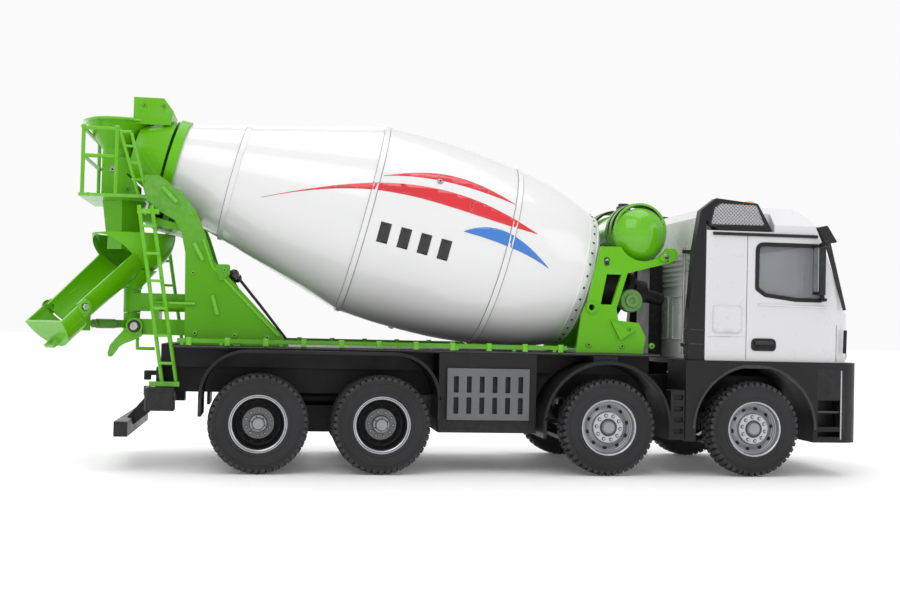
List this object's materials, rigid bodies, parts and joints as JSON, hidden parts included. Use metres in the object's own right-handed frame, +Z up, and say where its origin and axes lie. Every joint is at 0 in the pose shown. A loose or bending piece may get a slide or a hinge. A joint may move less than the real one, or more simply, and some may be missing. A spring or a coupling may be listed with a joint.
{
  "type": "toy concrete mixer truck",
  "caption": "Toy concrete mixer truck with a turning drum, linked steering, charging hopper, service platform and a swinging discharge chute.",
  "frame": {"origin": "on the ground under the middle of the bounding box", "axes": "+X forwards, +Y to the truck's left, +Z up"},
  "size_m": [0.5264, 0.16, 0.231],
  "materials": {
    "white_gloss": "gloss",
    "green_plastic": "satin",
    "green_gloss": "gloss",
    "black_plastic": "matte",
    "silver_plastic": "satin",
    "tyre_rubber": "matte",
    "clear_plastic": "gloss",
    "amber_plastic": "gloss",
    "red_plastic": "gloss",
    "lamp_plastic": "gloss",
    "board": "satin",
    "motor_steel": "satin",
    "grey_plastic": "matte",
    "blue_wrap": "satin"
  },
  "bodies": {
    "chassis": {"air_ducts": "black_plastic", "battery_cover": "black_plastic", "battery_pack": "blue_wrap", "beacon": "amber_plastic", "cab_base": "black_plastic", "cab_interior": "grey_plastic", "cab_shell": "white_gloss", "cab_windows": "clear_plastic", "chassis_frame": "black_plastic", "chute_bracket": "green_plastic", "circuit_board": "board", "deck_body": "black_plastic", "discharge_spout": "green_plastic", "drive_unit": "black_plastic", "drum_gearbox": "black_plastic", "drum_motor": "motor_steel", "fenders": "black_plastic", "front_pedestal": "green_plastic", "head_lights": "lamp_plastic", "hopper": "green_plastic", "ladders": "green_plastic", "mirrors": "black_plastic", "mouth_shroud": "green_plastic", "rear_bumper": "black_plastic", "rear_frame": "green_plastic", "service_platform": "green_plastic", "side_covers": "silver_plastic", "steering_servo": "black_plastic", "sun_visor": "black_plastic", "tail_lights": "red_plastic", "water_tank": "green_gloss"},
    "drum": {"drum_shell": "white_gloss", "drum_track_ring": "green_plastic", "drum_blades": "grey_plastic", "drum_shaft": "black_plastic"},
    "roller_right": {"drum_roller_right": "black_plastic"},
    "roller_left": {"drum_roller_left": "black_plastic"},
    "chute_arm": {"chute": "green_plastic", "chute_swivel": "green_plastic", "chute_strut": "black_plastic"},
    "end_scoop": {"chute_flap": "green_plastic"},
    "lever": {"hook_lever": "green_plastic"},
    "switch_knob": {"power_switch": "black_plastic"},
    "link": {"steering_link": "black_plastic"},
    "axle_third": {"rims_third": "silver_plastic", "tyres_third": "tyre_rubber"},
    "axle_fourth": {"rims_fourth": "silver_plastic", "tyres_fourth": "tyre_rubber"},
    "steer_front_right": {"knuckle_front_right": "black_plastic"},
    "wheel_front_right": {"rim_front_right": "silver_plastic", "tyre_front_right": "tyre_rubber"},
    "steer_front_left": {"knuckle_front_left": "black_plastic"},
    "wheel_front_left": {"rim_front_left": "silver_plastic", "tyre_front_left": "tyre_rubber"},
    "steer_second_right": {"knuckle_second_right": "black_plastic"},
    "wheel_second_right": {"rim_second_right": "silver_plastic", "tyre_second_right": "tyre_rubber"},
    "steer_second_left": {"knuckle_second_left": "black_plastic"},
    "wheel_second_left": {"rim_second_left": "silver_plastic", "tyre_second_left": "tyre_rubber"}
  },
  "joints": [
    {"name": "drum_spin", "type": "hinge", "parent": "chassis", "child": "drum", "pos_m": [-0.0131, 0, 0.1496], "axis": [0.9703, 0, -0.2419], "continuous": true},
    {"name": "roller_right_spin", "type": "hinge", "parent": "chassis", "child": "roller_right", "pos_m": [-0.18486, -0.02111, 0.16136], "axis": [0.9703, 0, -0.2419], "continuous": true},
    {"name": "roller_left_spin", "type": "hinge", "parent": "chassis", "child": "roller_left", "pos_m": [-0.18486, 0.02111, 0.16136], "axis": [0.9703, 0, -0.2419], "continuous": true},
    {"name": "steer_front_right", "type": "hinge", "parent": "chassis", "child": "steer_front_right", "pos_m": [0.1902, -0.046, 0.03], "axis": [0, 0, 1], "range_deg": [-20, 20]},
    {"name": "spin_front_right", "type": "hinge", "parent": "steer_front_right", "child": "wheel_front_right", "pos_m": [0.1902, -0.061, 0.03], "axis": [0, 1, 0], "continuous": true},
    {"name": "steer_front_left", "type": "hinge", "parent": "chassis", "child": "steer_front_left", "pos_m": [0.1902, 0.046, 0.03], "axis": [0, 0, 1], "range_deg": [-20, 20]},
    {"name": "spin_front_left", "type": "hinge", "parent": "steer_front_left", "child": "wheel_front_left", "pos_m": [0.1902, 0.061, 0.03], "axis": [0, 1, 0], "continuous": true},
    {"name": "steer_second_right", "type": "hinge", "parent": "chassis", "child": "steer_second_right", "pos_m": [0.0952, -0.046, 0.03], "axis": [0, 0, 1], "range_deg": [-20, 20]},
    {"name": "spin_second_right", "type": "hinge", "parent": "steer_second_right", "child": "wheel_second_right", "pos_m": [0.0952, -0.061, 0.03], "axis": [0, 1, 0], "continuous": true},
    {"name": "steer_second_left", "type": "hinge", "parent": "chassis", "child": "steer_second_left", "pos_m": [0.0952, 0.046, 0.03], "axis": [0, 0, 1], "range_deg": [-20, 20]},
    {"name": "spin_second_left", "type": "hinge", "parent": "steer_second_left", "child": "wheel_second_left", "pos_m": [0.0952, 0.061, 0.03], "axis": [0, 1, 0], "continuous": true},
    {"name": "link_pivot", "type": "hinge", "parent": "steer_front_right", "child": "link", "pos_m": [0.1782, -0.046, 0.018], "axis": [0, 0, 1], "range_deg": [-20, 20]},
    {"name": "third_axle_spin", "type": "hinge", "parent": "chassis", "child": "axle_third", "pos_m": [-0.0463, 0, 0.03], "axis": [0, 1, 0], "continuous": true},
    {"name": "fourth_axle_spin", "type": "hinge", "parent": "chassis", "child": "axle_fourth", "pos_m": [-0.1203, 0, 0.03], "axis": [0, 1, 0], "continuous": true},
    {"name": "chute_swing", "type": "hinge", "parent": "chassis", "child": "chute_arm", "pos_m": [-0.2028, 0, 0.1], "axis": [0, 0, 1], "range_deg": [-100, 18]},
    {"name": "scoop_fold", "type": "hinge", "parent": "chute_arm", "child": "end_scoop", "pos_m": [-0.23863, -0.03227, 0.09741], "axis": [-0.6691, 0.7431, 0], "range_deg": [0, 90]},
    {"name": "lever_swing", "type": "hinge", "parent": "chassis", "child": "lever", "pos_m": [-0.1994, -0.013, 0.0863], "axis": [0, 1, 0], "range_deg": [-20, 12]},
    {"name": "switch_slide", "type": "slide", "parent": "chassis", "child": "switch_knob", "axis": [1, 0, 0], "range_m": [0, 0.004]}
  ],
  "couplings": [
    {"joint": "roller_right_spin", "follows": "drum_spin", "ratio": -4.6154},
    {"joint": "roller_left_spin", "follows": "drum_spin", "ratio": -4.6154},
    {"joint": "steer_front_left", "follows": "steer_front_right", "ratio": 1},
    {"joint": "steer_second_right", "follows": "steer_front_right", "ratio": 1},
    {"joint": "steer_second_left", "follows": "steer_front_right", "ratio": 1},
    {"joint": "link_pivot", "follows": "steer_front_right", "ratio": -1},
    {"joint": "fourth_axle_spin", "follows": "third_axle_spin", "ratio": 1}
  ]
}
